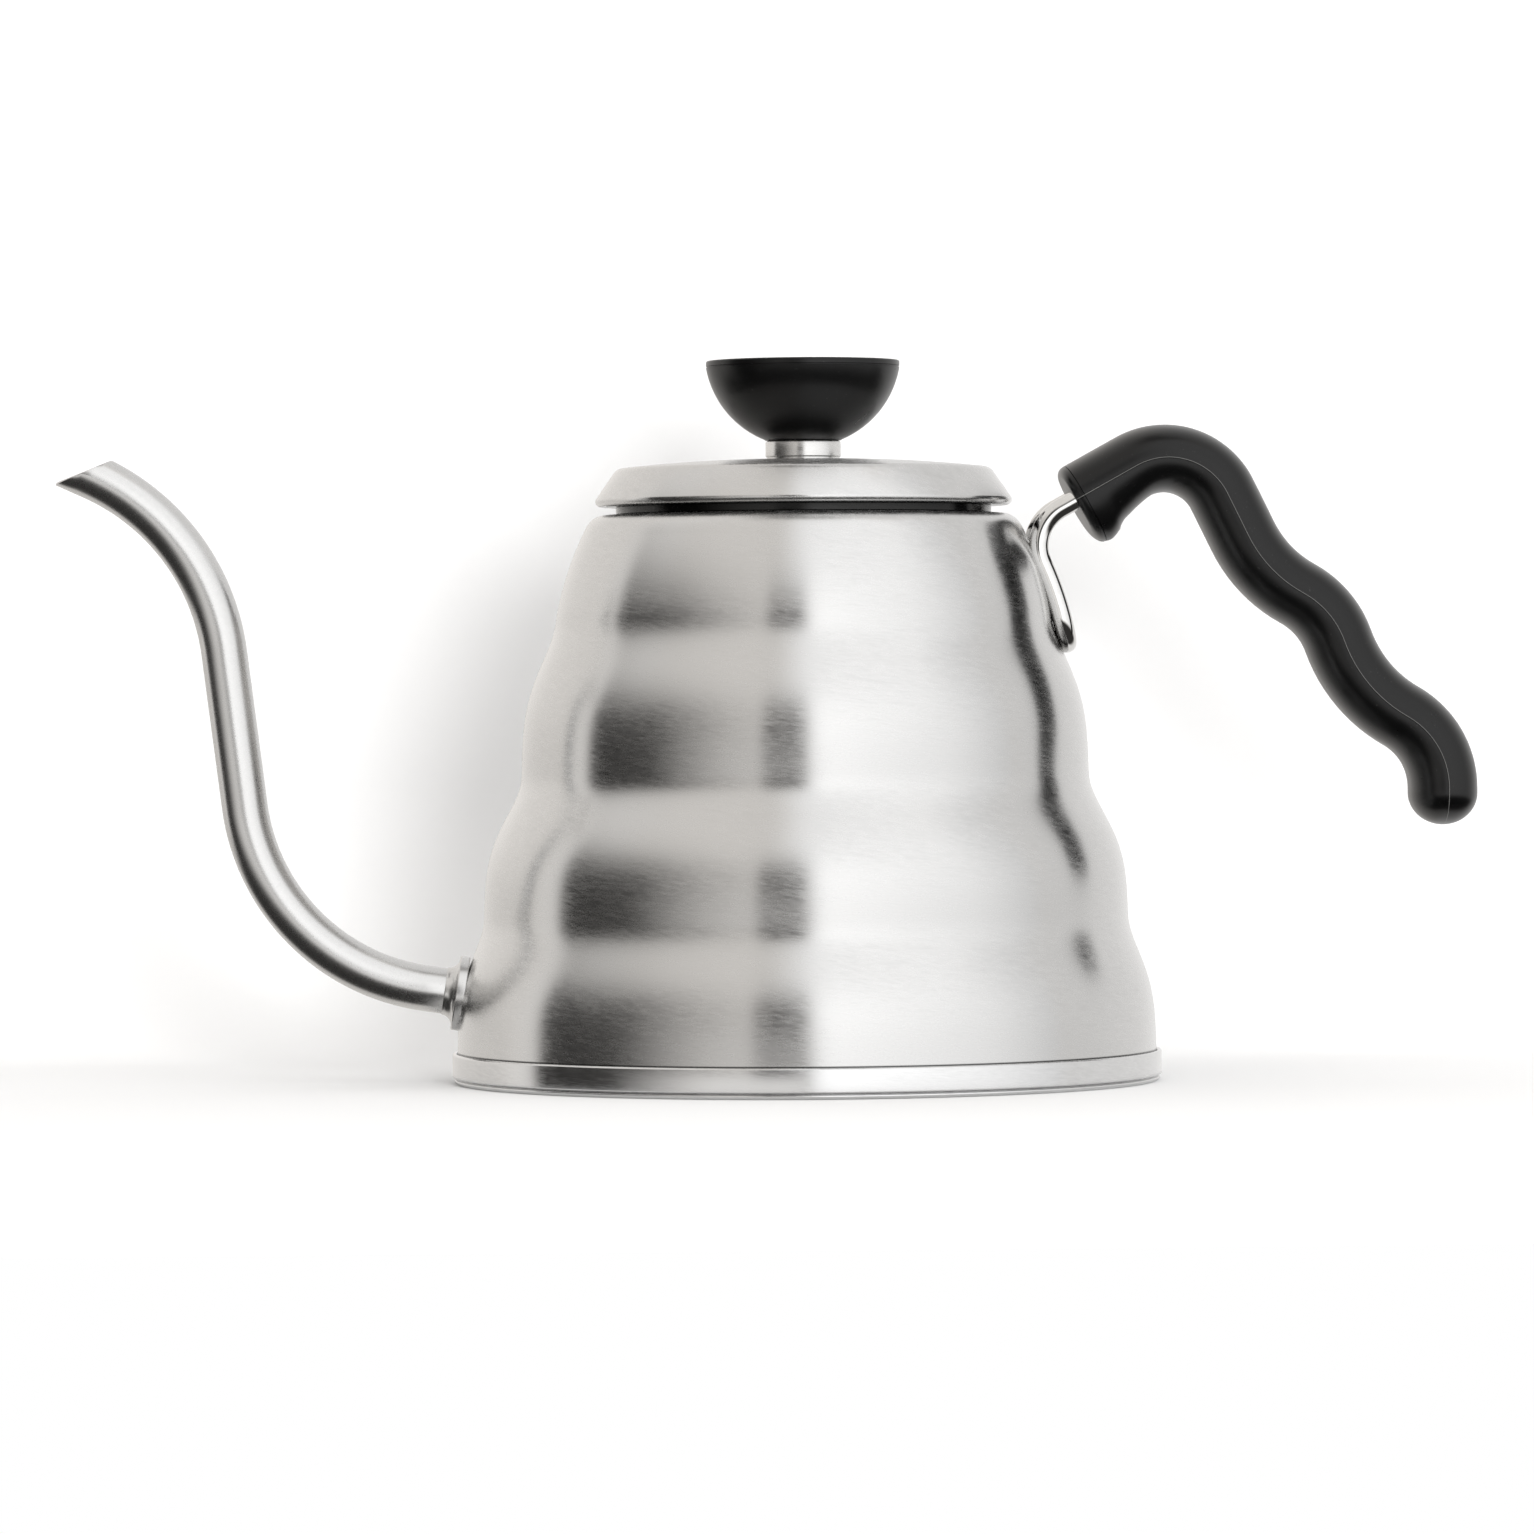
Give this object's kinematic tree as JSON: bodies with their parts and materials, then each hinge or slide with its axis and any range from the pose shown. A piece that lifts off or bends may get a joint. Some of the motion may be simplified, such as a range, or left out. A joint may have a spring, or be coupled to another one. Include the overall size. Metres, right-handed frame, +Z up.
{
  "type": "gooseneck kettle",
  "caption": "Tiered steel pour-over kettle with a slender gooseneck spout, a lift-off lid with a bowl-shaped knob and a wavy moulded grip on a bent wire bracket.",
  "frame": {"origin": "centre of the base's underside, on the surface that the kettle stands on", "axes": "+Z up along the body's axis, -X towards the spout, +X towards the handle, +Y to the back as seen with the spout on the left"},
  "size_m": [0.2884, 0.144, 0.1463],
  "materials": {
    "brushed_body": "fine brushing round the axis",
    "polished_band": "brighter, fine turned band",
    "brushed_tube": "satin, brushed along the tube",
    "turned_steel": "bright turned steel",
    "polished_wire": "polished steel wire",
    "black_phenolic": "satin moulded phenolic",
    "insert_brass": "turned brass"
  },
  "bodies": {
    "kettle": {"body_shell": "brushed_body", "base_pan": "polished_band", "spout_tube": "brushed_tube", "spout_collar": "brushed_tube", "handle_wire": "polished_wire", "handle_bridge": "turned_steel", "handle_grip": "black_phenolic", "handle_washer": "turned_steel", "handle_screw": "turned_steel"},
    "lid": {"lid_shell": "brushed_body", "lid_skirt": "brushed_body", "knob_ferrule": "turned_steel", "lid_knob": "black_phenolic", "knob_insert": "insert_brass", "knob_washer": "turned_steel", "knob_screw": "turned_steel"}
  },
  "joints": [
    {"name": "lid_lift", "type": "slide", "parent": "kettle", "child": "lid", "axis": [0, 0, 1], "range_m": [0, 0.03]}
  ]
}
